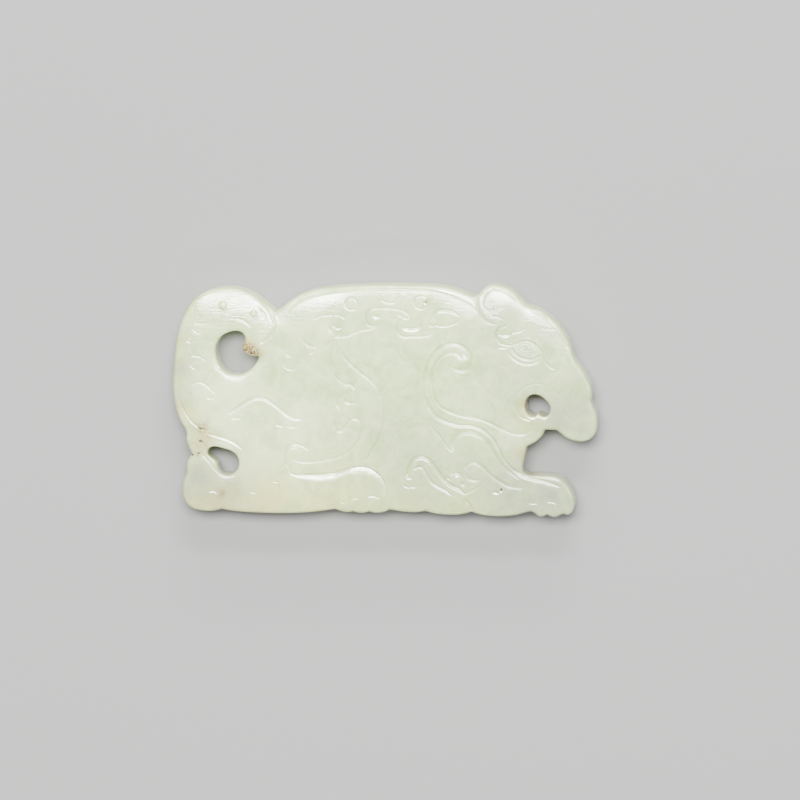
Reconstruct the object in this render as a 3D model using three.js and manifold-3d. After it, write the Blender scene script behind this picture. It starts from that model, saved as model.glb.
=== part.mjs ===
// A jade pendant: a tapir-like beast lying in profile, cut from one flat slab of pale nephrite.
// Its tail curls up over the rump, its long snout droops in front of the chest, and three holes go
// through it: in the curl of the tail, behind the hock, and at the mouth.
//
// The slab lies on its back face. X runs from tail to snout, Y from the soles of the feet up to the
// back of the beast, Z out of the carved front face. The origin is under the middle of the slab.
import * as THREE from 'three';
import { mergeVertices } from 'three/addons/utils/BufferGeometryUtils.js';
import Module from 'manifold-3d';

const wasm = await Module();
wasm.setup();

// Driving sizes, in millimetres.
const LENGTH = 63; // tail to snout
const THICKNESS = 6;
const EDGE_INSET = 0.45; // how far the rounded outer edge reaches in over each face
const EDGE_DROP = 0.7; // how far the same edge reaches down the side
const HOLE_INSET = 0.25; // the rounded edge of the holes, over the face
const HOLE_DROP = 0.4; // and down into the hole
const LINE_WIDTH = 0.5; // an engraved line at the surface
const LINE_DEPTH = 0.25;
const SLOPE_WIDTH = 0.9; // the gentle side of a line that sets one form behind another
const SLOPE_DEPTH = 0.34;
const LINE_TAPER = 1.6; // length over which a line runs out at its ends
const LINE_END = 0.25; // share of its width and depth that is left at the very tip
const PEARL_RADIUS = 0.65; // the raised dots on the tail
const PEARL_HEIGHT = 0.22;

// How finely the curves are cut into straight pieces.
const OUTLINE_STEP = 0.8;
const HOLE_STEP = 0.6;
const LINE_STEP = 0.95;
const EDGE_FACETS = 2;
const HOLE_FACETS = 1;
const CUT_ABOVE = 0.3; // share of a line's depth by which its cutter stands out of the face
const CUT_PAST = 0.02; // how far a hole's cutter goes past each face
const PEARL_SIDES = 10;
const PEARL_RINGS = 6;

const JADE = { color: 0xdde1cf, roughness: 0.32, metalness: 0 };

// The figure is drawn on squared paper. x counts squares from the tail towards the snout, and y
// counts them from the soles up to the back. Each run of the outline is smooth from one sharp
// corner to the next, and starts where the run before it ends.
const OUTLINE_RUNS = {
  tail: [
    [102, 202], [92, 210], [83, 217], [72, 222.5], [60, 225.5], [46, 225], [33.5, 221.5],
    [21, 213.5], [12, 199.5], [5.5, 182], [2, 160], [0, 136], [0.3, 120], [2.5, 106],
    [7, 93], [12.2, 84], [13.5, 78.5], [12.8, 73], [15.2, 67], [18.6, 59.7],
  ],
  hock: [
    [18.6, 59.7], [15, 54.5], [13, 49], [13.3, 43], [13, 39.5], [9.8, 33], [8.4, 25],
    [9.2, 16.5], [13, 9.7], [20, 4.8], [30, 2.8], [40.5, 2.8], [48.2, 4.8],
  ],
  haunch_sole: [[48.2, 4.8], [57, 3.2], [73, 1.8], [94, 1.1], [117, 1.3], [138, 2.6], [152, 4.4], [161.5, 5.9]],
  hind_claw_1: [[161.5, 5.9], [166, 4.4], [171, 3], [175.5, 2.9], [179.4, 3.9]],
  hind_claw_2: [[179.4, 3.9], [183, 2.7], [187.5, 2.3], [192, 2.8], [195.5, 3.7]],
  hind_claw_3: [[195.5, 3.7], [199, 2.7], [204.5, 2.5], [209.5, 3.1], [213, 4.6], [215.8, 5.9]],
  belly: [[215.8, 5.9], [229, 4], [242, 3.4], [251.4, 5]],
  breast: [[251.4, 5], [260.5, 2.5], [276, 1.3], [288, 2], [297.3, 4.7]],
  elbow: [[297.3, 4.7], [305, 2], [317, 0.5], [329.5, 0.5], [342, 2], [351, 4.5], [356, 5.7]],
  fore_claw_1: [[356, 5.7], [360, 3.6], [363, 1.2], [366.3, 0.2], [369.6, 1.4], [372.3, 2.7]],
  fore_claw_2: [[372.3, 2.7], [375.5, 0.9], [379.2, 0.2], [383.2, 1.2], [387.6, 3.4]],
  paw: [
    [387.6, 3.4], [391.5, 2.4], [395, 3.4], [397.8, 6.2], [399.4, 11], [399.6, 16], [398.4, 21.5],
    [395, 29.5], [389.5, 36.5], [383, 40.4], [376, 41.7], [366, 42.2], [356.5, 42.3],
    [350.5, 43.2], [348.2, 46.5], [348.4, 51], [350, 60], [352.2, 70.6],
  ],
  chin: [[352.2, 70.6], [357, 73], [361.6, 75.6], [365.8, 79.5], [368.4, 83], [369.8, 87]],
  lip: [[369.8, 87], [375.4, 87.2], [381.5, 86.8]],
  snout: [
    [381.5, 86.8], [385.3, 83.6], [390.7, 79.6], [397, 76.9], [404.5, 75.8], [411.3, 76.8],
    [417, 80], [420.4, 85], [421.6, 91.5], [421.6, 98.5], [420.2, 105.5], [417.6, 111], [416, 115.3],
  ],
  face: [
    [416, 115.3], [416.4, 122], [415, 131], [411, 140], [404.8, 149.8], [399.2, 157.2],
    [396.6, 164], [393.8, 173], [389.5, 182], [383.5, 190.5], [375.2, 199], [366, 205.2],
    [356.7, 208.8], [351.3, 210.8],
  ],
  ear: [
    [351.3, 210.8], [346, 216.4], [338.5, 224], [329, 228.9], [320, 230.4], [313.7, 229.7],
    [309, 227.2], [305.4, 223.2], [302.3, 219.8], [299.2, 218.6],
  ],
  back: [
    [299.2, 218.6], [295, 220.1], [286, 224], [275.5, 227], [263, 228.8], [248, 229.6], [226, 229.9],
    [203, 229.7], [181, 228.6], [160, 227.1], [144.5, 225.1], [133.5, 221.8], [124.3, 217.6],
    [115.2, 211.8], [108.8, 206.4], [102, 202],
  ],
};

const HOLE_RUNS = {
  tail_curl: [
    [
      [68.9, 168.5], [71, 172], [72, 176.5], [71.4, 180.3], [69, 183.6], [64.5, 185.2], [59.5, 184.8],
      [53.5, 182.5], [48, 178.5], [44.2, 172], [42.8, 164], [44, 154.5], [47.8, 146], [53, 140.4],
      [60, 137.9], [67, 138.2], [74, 141.3], [80, 146.8], [84.2, 153], [85.6, 157.2],
    ],
    [[85.6, 157.2], [80.4, 158.2], [75, 159.8], [71.2, 163.5], [68.9, 168.5]],
  ],
  hock: [
    [
      [40.5, 55.5], [43.2, 51], [44.6, 46], [48, 41], [53.5, 38.5], [59.5, 39.8], [64.3, 44],
      [66.3, 50], [66, 55.5], [63.2, 61], [57.5, 65.2], [50, 67.6], [43.5, 69.2], [38.5, 69.2],
      [34.6, 66.4], [33.4, 62.4], [35.6, 59], [40.5, 55.5],
    ],
  ],
  mouth: [
    [
      [363.5, 103.2], [367, 101.2], [370.4, 99.8], [373.8, 102.6], [375.8, 107.6], [374.6, 112],
      [370, 117.3], [364.7, 120.9], [358.5, 121.5], [353.8, 118.6], [351.4, 113], [351.8, 106.5],
      [355.2, 101.4], [360, 100.4], [363.5, 103.2],
    ],
  ],
};

// The raised dots, at the middle of each.
const PEARLS = [[50.5, 208.5], [81, 200.5]];

// An engraved line, cut alike on both sides.
const line = (...points) => ({ points, left: LINE_WIDTH / 2, right: LINE_WIDTH / 2, depth: LINE_DEPTH });
// A line with one steep and one gentle side, so that the form on the gentle side swells out of it.
// Left and right are those of someone walking along the line.
const swellLeft = (...points) => ({ ...line(...points), left: SLOPE_WIDTH, depth: SLOPE_DEPTH });
const swellRight = (...points) => ({ ...line(...points), right: SLOPE_WIDTH, depth: SLOPE_DEPTH });

// A line round part of a circle or an oval, between two bearings in degrees.
const arc = (x, y, radiusX, radiusY, from, to, pieces = 8) =>
  Array.from({ length: pieces + 1 }, (_, i) => {
    const bearing = THREE.MathUtils.degToRad(from + ((to - from) * i) / pieces);
    return [x + radiusX * Math.cos(bearing), y + radiusY * Math.sin(bearing)];
  });

// What both faces share: the lines that set off the limbs and the head.
const LIMB_LINES = {
  haunch: line([56, 100], [66, 108], [80, 116], [89, 117], [98, 113.5], [108, 106], [119, 98.5], [129, 96]),
  hind_leg: swellRight(
    [115, 46], [122, 41], [132, 40.7], [147, 41.3], [160, 43], [172, 46.5], [183, 49], [191, 49],
    [199, 46.5], [205, 42], [210, 35.5], [213, 27], [214, 18],
  ),
  foreleg: line(
    [251, 125], [254, 115], [260, 106.5], [269, 97], [278, 93], [292, 91.5], [303, 89.5], [312, 85.5],
    [319, 78.5], [325, 68], [331, 57], [338, 48.5], [347, 43], [358, 39], [370, 36.5], [383, 32],
  ),
  jaw: line(
    [258, 125], [261, 116.5], [267, 109.5], [276, 104.5], [287, 100.5], [300, 98], [311, 95.5],
    [320, 91.5], [331, 86], [342, 82.5], [351, 83.5], [357, 87.5],
  ),
  ear: line([302, 219], [301.8, 212], [303.5, 204.5], [308, 197.5], [315, 192.8], [322, 191.5]),
  brow: line([331, 191.3], [325, 188.5], [320.8, 183], [321.8, 176.5], [327, 172], [337, 170.3]),
  upper_lid: line([336, 170], [343, 174], [351, 175.8], [358, 174], [363.5, 169.5], [367, 164]),
  lower_lid: line([331, 167], [337, 159.5], [345, 154.6], [353, 153], [361, 154.6], [367, 158]),
};

// The ornament that only the front face has.
const FRONT_LINES = {
  ...LIMB_LINES,
  back_border: line(
    [115, 200], [121, 208.5], [131, 215], [141, 218.8], [154, 221.8], [170, 223.9], [188, 225], [212, 225.6],
    [237, 225.7], [257, 224.4], [273, 221], [286, 216.3], [297, 210.5], [303, 204.5],
  ),
  mane_curl: line(
    [250, 126], [251.2, 138], [254, 150], [260.5, 161.5], [268, 169], [277, 172.4], [286, 171.6],
    [293, 167], [296.8, 159.5], [296, 150.5], [290.5, 145], [284, 145.8], [278, 149.5],
  ),
  mane_inner: line([258, 126], [258.5, 138], [262, 149], [268, 157.5], [277, 162], [286, 161.5], [290.5, 157]),
  shoulder: line([257, 90], [263, 84.5], [269, 76.5], [275, 68.5], [281, 66.5]),
  foreleg_inner: swellLeft(
    [281, 70], [284.5, 78.5], [291, 83], [300, 82.5], [309, 78.5], [316, 70.5], [321.5, 61], [328, 52],
    [336, 45], [344, 38.5],
  ),
  elbow_fold: line([293, 49], [301, 53.5], [310, 48], [319, 40.5], [329, 33], [338, 29.5], [346, 29.3]),
  breast_scroll: line(
    [233, 38], [235.5, 47], [239, 55.5], [246, 59.5], [254, 57.5], [261, 51], [267, 42], [275, 33],
    [285, 27.5], [293, 21.5], [298, 13.5],
  ),
  hip_band: line(
    [169, 166], [176, 154], [187, 144], [197, 135], [204, 124], [209.5, 110], [210, 96], [206, 81],
    [199, 68], [192, 56],
  ),
  hip_hook: line(
    [161, 95], [162.5, 87.5], [166.5, 84.2], [171, 88], [175.5, 94.5], [182, 97.2], [187.3, 93],
    [187.3, 83], [183, 72], [174, 63], [161, 57], [146, 53.5], [131, 52.5], [122, 54.5],
  ),
  hip_curl: line([136, 65.5], [129, 70.2], [120, 70.7], [114.5, 65.5], [112.2, 57], [114, 48.5]),
  cloud_left: line(
    [203, 189], [196, 190], [192.8, 196], [194.5, 203.5], [202, 206.3], [215, 206.7], [228, 205.5],
    [235.5, 200], [236, 195.5],
  ),
  cloud_middle: line([227, 197], [222.8, 190], [224, 183], [230, 179.2], [241, 179.2], [255, 180]),
  cloud_right: line([254, 194], [259, 189.5], [264, 192], [259, 199], [265, 205.2], [276, 205.8], [284, 201]),
  branch: line([164, 178], [173, 179], [182, 182.8], [192, 186], [202, 188]),
  stem: line([161, 144], [159, 156], [158.5, 167], [162, 177], [168, 184], [170, 190]),
  leaf: line([140, 195.5], [147, 199], [158, 199.5], [165, 199], [171, 196]),
  tail_tip: swellRight(
    [85, 213.5], [92, 207.5], [97.5, 200], [100.8, 190], [99, 181], [93.5, 174], [85, 169.5], [78, 168],
  ),
  tail_groove: line([58, 195.5], [67, 195], [74, 191.5], [78, 186.5]),
  tail_foot: line([7.5, 115], [11, 106], [16, 97], [24, 87]),
  hock_ring: line([35, 80.5], [48, 77.3], [60, 73], [69, 66.5], [73, 58]),
  mouth_ring: line(...arc(361, 112, 18.5, 18.5, 150, 300)),
  mouth_ring_top: line(...arc(361, 112, 18.5, 18.5, 30, 125, 6)),
};

// Everything above is in squares. The outline's own extent gives the size of a square and the middle.
const drawnExtent = new THREE.Box2().setFromPoints(
  Object.values(OUTLINE_RUNS).flatMap((run) => smoothRun(run, 1).map(flat)),
);
const SQUARE = LENGTH / (drawnExtent.max.x - drawnExtent.min.x);
const MIDDLE = drawnExtent.getCenter(new THREE.Vector2());

function flat(point) {
  return new THREE.Vector2(point.x, point.y);
}

// Points about one step apart, on the smooth curve through the given [x, y] pairs.
function smoothRun(pairs, step) {
  const curve = new THREE.CatmullRomCurve3(pairs.map(([x, y]) => new THREE.Vector3(x, y, 0)));
  curve.curveType = 'centripetal';
  return curve.getSpacedPoints(Math.max(2, Math.ceil(curve.getLength() / step)));
}

// The same, from squares to millimetres about the origin.
function runInMillimetres(pairs, step) {
  return smoothRun(pairs, step / SQUARE).map((point) => flat(point).sub(MIDDLE).multiplyScalar(SQUARE));
}

// A closed shape from runs that meet end to start.
function shapeOf(runs, step) {
  return new THREE.Shape(runs.flatMap((run) => runInMillimetres(run, step).slice(0, -1)));
}

function solidOf(geometry) {
  geometry.deleteAttribute('normal');
  geometry.deleteAttribute('uv');
  const merged = mergeVertices(geometry, 1e-4);
  return new wasm.Manifold(
    new wasm.Mesh({
      numProp: 3,
      vertProperties: merged.attributes.position.array,
      triVerts: new Uint32Array(merged.index.array),
    }),
  );
}

function geometryOf(solid) {
  const { vertProperties, triVerts } = solid.getMesh();
  const geometry = new THREE.BufferGeometry();
  geometry.setAttribute('position', new THREE.BufferAttribute(vertProperties, 3));
  geometry.setIndex(new THREE.BufferAttribute(triVerts, 1));
  const faceted = geometry.toNonIndexed();
  faceted.computeVertexNormals();
  return faceted;
}

// The slab: its outline at mid thickness, rounded in over both faces.
function slab() {
  return solidOf(
    new THREE.ExtrudeGeometry(shapeOf(Object.values(OUTLINE_RUNS), OUTLINE_STEP), {
      depth: THICKNESS - 2 * EDGE_DROP,
      bevelThickness: EDGE_DROP,
      bevelSize: EDGE_INSET,
      bevelOffset: -EDGE_INSET,
      bevelSegments: EDGE_FACETS,
    }).translate(0, 0, EDGE_DROP),
  );
}

// What is taken out of the slab for one hole: it flares at both faces, which rounds the hole's edges.
function holeCutter(runs) {
  return solidOf(
    new THREE.ExtrudeGeometry(shapeOf(runs, HOLE_STEP), {
      depth: THICKNESS - 2 * HOLE_DROP,
      bevelThickness: HOLE_DROP + CUT_PAST,
      bevelSize: -HOLE_INSET,
      bevelOffset: HOLE_INSET,
      bevelSegments: HOLE_FACETS,
    }).translate(0, 0, HOLE_DROP),
  );
}

// What is taken out for one engraved line: a bar of V section, point down, that thins at both ends.
// It lies on the face at height faceZ, whose outside is up (side 1) or down (side -1).
function lineCutter({ points, left, right, depth }, faceZ, side) {
  const stations = runInMillimetres(points, LINE_STEP);
  const last = stations.length - 1;
  const along = [0];
  for (let i = 1; i <= last; i += 1) along.push(along[i - 1] + stations[i].distanceTo(stations[i - 1]));
  const positions = stations.flatMap((here, i) => {
    const ahead = stations[Math.min(i + 1, last)].clone().sub(stations[Math.max(i - 1, 0)]).normalize();
    const across = new THREE.Vector2(-ahead.y, ahead.x);
    const toTip = Math.min(along[i], along[last] - along[i]);
    const fade = THREE.MathUtils.lerp(LINE_END, 1, Math.min(1, toTip / LINE_TAPER));
    const rim = fade * (1 + CUT_ABOVE);
    const onLeft = here.clone().addScaledVector(across, left * rim);
    const onRight = here.clone().addScaledVector(across, -right * rim);
    const outside = faceZ + side * CUT_ABOVE * depth * fade;
    const bottom = faceZ - side * depth * fade;
    return [onLeft.x, onLeft.y, outside, onRight.x, onRight.y, outside, here.x, here.y, bottom];
  });
  const faces = [[0, 2, 1], [3 * last, 3 * last + 1, 3 * last + 2]];
  for (let i = 0; i < last; i += 1) {
    for (let corner = 0; corner < 3; corner += 1) {
      const a = 3 * i + corner;
      const b = 3 * i + ((corner + 1) % 3);
      faces.push([a, b, a + 3], [b, b + 3, a + 3]);
    }
  }
  const facesOut = side > 0 ? faces : faces.map(([a, b, c]) => [a, c, b]);
  const geometry = new THREE.BufferGeometry();
  geometry.setAttribute('position', new THREE.Float32BufferAttribute(positions, 3));
  geometry.setIndex(facesOut.flat());
  return solidOf(geometry);
}

// A low round dot that stands out of the front face.
function pearl([x, y]) {
  const middle = new THREE.Vector2(x, y).sub(MIDDLE).multiplyScalar(SQUARE);
  return solidOf(
    new THREE.SphereGeometry(PEARL_RADIUS, PEARL_SIDES, PEARL_RINGS)
      .rotateX(Math.PI / 2)
      .scale(1, 1, PEARL_HEIGHT / PEARL_RADIUS)
      .translate(middle.x, middle.y, THICKNESS),
  );
}

function pendant() {
  let solid = slab();
  for (const runs of Object.values(HOLE_RUNS)) solid = solid.subtract(holeCutter(runs));
  for (const cut of Object.values(FRONT_LINES)) solid = solid.subtract(lineCutter(cut, THICKNESS, 1));
  for (const cut of Object.values(LIMB_LINES)) solid = solid.subtract(lineCutter(cut, 0, -1));
  for (const place of PEARLS) solid = solid.add(pearl(place));
  const mesh = new THREE.Mesh(geometryOf(solid), new THREE.MeshStandardMaterial(JADE));
  mesh.name = 'tapir_pendant';
  return mesh;
}

const part = new THREE.Group();
part.add(pendant());

export default part;
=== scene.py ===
"""A jade pendant lying on its back: a tapir-like beast in profile, in pale, clouded nephrite.

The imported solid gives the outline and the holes. The carving is worked out here as a height over
each face, from strokes drawn on the same squared paper as the outline.
"""

import math

import bmesh
import bpy
import numpy as np
from mathutils import Matrix, Vector
from mathutils.geometry import delaunay_2d_cdt
from mathutils.kdtree import KDTree


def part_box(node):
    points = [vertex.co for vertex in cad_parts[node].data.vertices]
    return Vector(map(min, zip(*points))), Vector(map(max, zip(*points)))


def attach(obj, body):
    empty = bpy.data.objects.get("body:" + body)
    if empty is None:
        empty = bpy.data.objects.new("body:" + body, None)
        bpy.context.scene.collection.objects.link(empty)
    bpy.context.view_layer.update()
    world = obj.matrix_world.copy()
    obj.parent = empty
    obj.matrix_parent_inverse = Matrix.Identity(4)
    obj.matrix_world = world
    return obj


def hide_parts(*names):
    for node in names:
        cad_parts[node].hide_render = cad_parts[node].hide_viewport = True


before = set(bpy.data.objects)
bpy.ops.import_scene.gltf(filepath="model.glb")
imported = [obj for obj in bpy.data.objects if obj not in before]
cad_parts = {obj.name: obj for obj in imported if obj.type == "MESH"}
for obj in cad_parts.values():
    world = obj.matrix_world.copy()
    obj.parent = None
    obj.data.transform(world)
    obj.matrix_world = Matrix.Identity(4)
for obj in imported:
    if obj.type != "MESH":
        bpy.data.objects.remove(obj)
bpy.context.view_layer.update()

NODE = "tapir_pendant"
MM = 0.001

# The squared paper: x counts from the tail towards the snout, y from the soles up to the back.
# These four are the extent of the outline on it.
DRAWN_LEFT = -0.1
DRAWN_RIGHT = 421.8
DRAWN_BOTTOM = 0.2
DRAWN_TOP = 230.4

# Sizes in millimetres.
PEARL_RISE = 0.22  # how far the raised dots stand out of the front
LOW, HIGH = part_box(NODE)
LENGTH = (HIGH.x - LOW.x) / MM
THICKNESS = (HIGH.z - LOW.z) / MM - PEARL_RISE
SQUARE = LENGTH / (DRAWN_RIGHT - DRAWN_LEFT)
SLICE_HEIGHT = THICKNESS / 2
OUTLINE_STEP = 0.2
STRAIGHT_TURN = 0.02  # degrees; an outline point that turns less than this is dropped
CORNER_TURN = 20.0  # degrees; one that turns more, and much more than its neighbours, is a corner
CORNER_CONTRAST = 1.5
BELLY = 0.05  # how far the middle of the side wall swells out past its ends
WALL_ROWS = (0.15, 0.35, 0.65, 0.85)
EDGE_REACH = 0.19  # the rounded edge, over the face
EDGE_DROP = 0.3  # and down the side wall
BEVEL_REACH = 0.36  # the small bevel inside it
BEVEL_SLOPE = 0.24
HOLE_BEVEL_SLOPE = 0.12
EDGE_RINGS = (0.03, 0.1, 0.19, 0.33, 0.4, 0.55)
HOLE_PILLOW_DROPS = (0.2, 0.16, 0.05)  # the gentle fall of a face towards each hole, largest first
HOLE_PILLOW_REACH = 0.8
PILLOW_DROP = 0.3  # and towards the outline
PILLOW_REACH = 1.7
SHOULDER_DROP = 0.6  # the longer fall at the rounded parts
SHOULDER_REACH = 3.0
BACK_SOFTNESS = 0.25  # the share of this fall that the back has
FINE_STEP = 0.15
BACK_FINE_STEP = 0.2
COARSE_STEP = 0.62
FINE_MARGIN = 0.1  # how far the fine points reach past the carving
WIDE_CUT = 0.32  # a cut with a wider side than this gets grid points as well
ROW_SHARES = (0.5, 1.0)  # the rows of points beside the middle of a cut, over its half-widths
GUARD = 0.09  # one more row runs this far outside each rim, and keeps the bend there sharp
ROW_STEP = 0.13
PEARL_RINGS = (0.25, 0.45, 0.65, 0.82, 0.94, 1.0, 1.2)  # over a dot's radius
LEAST_GAP = 0.07  # points closer together than this are thinned out
UNDULATION = 0.018  # the slow unevenness of a face polished by hand
WAVE_LENGTHS = (5, 13)
FLOOR_HALF_WIDTH = 1500

# Shares and counts.
WAVE_COUNT = 7
WAVE_SEED = 3
TIP_SHARE = 0.22  # how much of a cut's width and depth is left at its tips
TAPER_LIMIT = 2.2  # a cut is at least this many tapers long
LINE_BEND = 1.15  # how hollow the side of a narrow cut is; 1 is a flat facet
SLOPE_BEND = 1.9  # and the side of a wide one
SLOPE_FROM = 0.45  # millimetres; a side is wide from here on
MOUND_BEND = 1.5  # above 1 a low form runs out softly at its foot
PEARL_BEND = 0.8  # below 1 it stands up steeply
PEARL_SIDES = 6  # fewest points in a ring, and points for each square of a ring's radius
SPOT_FALL = 0.8  # how fast a spot fades with its distance
RING_MARGIN = 0.97  # a point of a ring that lies nearer another edge than this share is dropped
GRID_MARGIN = 0.5  # steps of a grid that stay clear of the innermost ring
POINTS_AT_ONCE = 4000  # how many points are measured together
TINY = 1e-12
SAME_PLACE = 1e-4  # millimetres; points of the solid that are nearer than this are one
CROSSING_GAP = 1e-6  # and the same for the points of a face


# Carving.
def stroke(*points, left=0.2, right=0.2, depth=0.15, taper=1.4):
    """A groove along the points. Left and right are its half-widths as seen by someone who walks
    along it. A wide side rises slowly, so the form on that side looks rounded over."""
    return {"points": points, "left": left, "right": right, "depth": depth, "taper": taper}


def faint(*points, **sizes):
    """A shallow line."""
    return stroke(*points, **{"left": 0.18, "right": 0.18, "depth": 0.07, **sizes})


def nick(*points, **sizes):
    """A short broad cut, deep in the middle."""
    return stroke(*points, **{"left": 0.28, "right": 0.28, "depth": 0.16, "taper": 0.8, **sizes})


def arc(x, y, radius_x, radius_y, start, end, pieces=10):
    """Points round part of an oval, between two bearings in degrees."""
    bearings = [math.radians(start + (end - start) * i / pieces) for i in range(pieces + 1)]
    return [(x + radius_x * math.cos(b), y + radius_y * math.sin(b)) for b in bearings]


TAIL = [
    stroke((85, 213.5), (93, 208), (98.8, 200.5), (102, 192), (102.3, 186.5), (99, 179.5),
           (93.5, 174), (87, 170.5), left=0.17, right=0.44, depth=0.15, taper=2.5),
    faint((86, 206.5), (91.5, 200), (94.5, 191), right=0.3, depth=0.09),
    stroke((58, 195.5), (67, 194.6), (74, 191.2), (78, 186.5), left=0.45, right=0.3, depth=0.14),
    faint((59, 198), (66, 198.2), (73, 197)),
    faint((89, 154), (95, 161), (99, 167)),
    faint((41, 161), (41.8, 154.5), (44.6, 147), (50, 141.6), depth=0.09),
    nick((24, 190), (33, 191)),
    faint((20, 184), (26, 180.5), depth=0.05),
    faint((10, 170), (15, 173), (18, 169), (14, 166), depth=0.05),
    faint((19, 158), (27, 157.5), (31, 154.5), depth=0.12),
    faint((18, 148), (23, 144.5), depth=0.05),
    stroke((19, 129), (24, 131.5), (30, 131), (35, 127.5), (41, 121.5), depth=0.13),
    stroke((7.5, 115), (10, 107), (15, 98), (20, 91.5), (25, 86.5), left=0.17, right=0.28,
           depth=0.12),
    faint((32, 111), (32, 97), left=0.6, right=0.6),
    faint((34, 116), (42, 116)),
]
HOCK = [
    stroke((35, 80), (48, 77), (60, 72.5), (68.5, 66), (73, 58.5), left=0.6, right=0.4, depth=0.1,
           taper=3.0),
    faint((39, 73.5), (51, 72), (60, 67.5), (65, 62), right=0.5, depth=0.05),
    stroke((29, 59.5), (35, 54), (40.5, 47.5), (47, 42), (56, 38.8), left=0.44, right=0.17,
           depth=0.15, taper=1.2),
]
HAUNCH = [
    stroke((56, 100), (61, 104.5), (67, 109), (74, 113.3), (82, 116.8), (90, 116.8), (97, 114),
           (104, 109), (111, 103), (118, 98.5), (124, 96.6), (130, 96), left=0.17, right=0.5,
           depth=0.18),
    nick((58, 94), (62, 96.3), (69, 96.3), depth=0.13),
    nick((103, 90), (111, 88.8), depth=0.1),
    faint((115, 88), (123, 88.6), (130, 93.5), depth=0.1),
    faint((99, 89), (94.5, 82), (92, 73), (92, 64), left=0.4, right=0.4, depth=0.06),
    stroke((160.5, 98), (161.5, 91), (165.5, 84.8), (170, 87), (174, 93), (179, 97), (185, 96.5),
           (188, 91), (187.5, 83), (185, 75), (180, 68), (172, 61.5), (162, 57.5), (150, 54.6),
           (137, 53), (127, 53.2), (121, 55), left=0.17, right=0.3, depth=0.15),
    stroke((134, 65.5), (129, 69.6), (122, 71.3), (116, 69.2), (112.8, 61), (113.2, 52),
           (117, 44.5), left=0.25, right=0.17, depth=0.12),
    stroke((167, 169), (169.5, 161), (175, 154), (182, 147.5), (189, 142), (196, 136.5),
           (201.5, 131), (205, 124), left=0.17, right=0.27, depth=0.17, taper=2.0),
    faint((205, 122), (208.5, 114), (210, 104), (209, 91), (205.5, 79), (200.5, 70), (196, 62),
          (192, 54), left=0.4, right=0.17, depth=0.09),
    stroke((115, 46), (118.5, 42), (124, 40.3), (132, 40.8), (147, 41.3), (160, 43), (172, 46.5),
           (183, 49), (191, 49), (199, 46.5), (205, 42), (210, 35.5), (213, 27), (214, 18),
           left=0.17, right=0.42, depth=0.13, taper=2.5),
    stroke((118, 42), (124, 40.3), (132, 40.8), (147, 41.3), (160, 43), (172, 46.5), (183, 49),
           (191, 49), left=0.17, right=1.4, depth=0.26, taper=5.0),
    stroke((160, 43), (172, 46.5), (183, 49), (191, 49), (199, 46.5), (205, 42), (210, 35.5),
           (213, 27), left=0.17, right=1.4, depth=0.18, taper=5.0),
    faint((36, 22), (40, 23.2), (44, 21)),
    nick((76, 24), (83, 21), depth=0.06),
    faint((99, 33), (106, 33), depth=0.04),
    faint((165, 15), (172, 12), depth=0.05),
    faint((177, 17), (187, 17.5)),
    faint((195, 19), (201, 19.5), (207, 17)),
]
BACK_AND_FLANK = [
    stroke((114, 199), (120, 207.5), (129, 213.8), (140, 218.2), (154, 221.4), (170, 223.6),
           (188, 225), (212, 225.6), (237, 225.6), (257, 224.2), (273, 220.6), (286, 216),
           (297, 210), (303, 204), left=0.2, right=0.25, depth=0.12, taper=2.5),
    stroke((140, 195), (145, 197.6), (150, 199.4), (158, 199.6), depth=0.12),
    faint((161, 199.4), (167, 199), (172, 195.6), depth=0.1),
    nick((154, 190), (159.5, 181.5), depth=0.14),
    nick((161, 188.5), (165, 187), (170.5, 188), depth=0.14),
    stroke((170.5, 188), (167, 183), (163.5, 178.5), depth=0.14),
    stroke((163, 178), (172, 178.7), (179, 181.3), (187, 184.6), (195, 186.2), (202, 188),
           depth=0.11),
    faint((161.5, 175), (158.5, 166), (158.5, 154), (161, 145)),
    stroke((128, 177), (132, 172), (137, 168.4), (144, 168), left=0.4, depth=0.18),
    faint((136, 161), (142, 164)),
    nick((112, 161), (116, 159.6), (119, 157.2), depth=0.14),
    stroke((112, 147), (117.5, 145.3), (123, 147.5), depth=0.12),
    faint(*arc(117, 153, 6.5, 7, 100, 250)),
    stroke((161, 142), (165, 136), (170.5, 131), depth=0.17),
    nick((170, 130), (177, 131), (181, 127), depth=0.18),
    stroke((163, 117), (164, 111), (166.5, 106), depth=0.13),
    nick((170.5, 117.5), (174, 113.3), (181, 113), depth=0.18),
    faint(*arc(178, 211, 6, 6, 0, 300)),
    faint(*arc(216, 218, 8, 6, 190, 350), depth=0.05),
    faint(*arc(247, 213, 6.5, 6.5, 30, 330)),
    stroke((203, 189), (196.5, 189.6), (193, 194.5), (193.3, 201), (197, 205.4), (203, 206.7),
           (212, 206.8), (222, 206.2), (229, 204.6), (234.5, 201), (236.8, 196.5), left=0.25,
           right=0.17, depth=0.13),
    faint((199, 200), (206, 197.6), left=0.45, right=0.45, depth=0.09),
    faint((227, 199), (235, 196)),
    nick((228, 188.6), (235, 187.4), (242, 188), (248, 190.5), left=0.17, right=0.75, depth=0.15),
    stroke((228, 197), (223.5, 190), (224.3, 183.5), (230, 179), (239, 179.2), (247, 179.2),
           (256, 180.4), depth=0.15),
    nick((253.5, 193.5), (258, 190), (263, 191.5), depth=0.17),
    stroke((263, 191.5), (260.5, 197), (260, 201.5), (264, 205.4), (271, 206), (279, 204.6),
           (285, 200), left=0.17, right=0.45, depth=0.15),
    faint((260, 190), (272, 189.6), (285, 194), depth=0.06),
]
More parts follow.
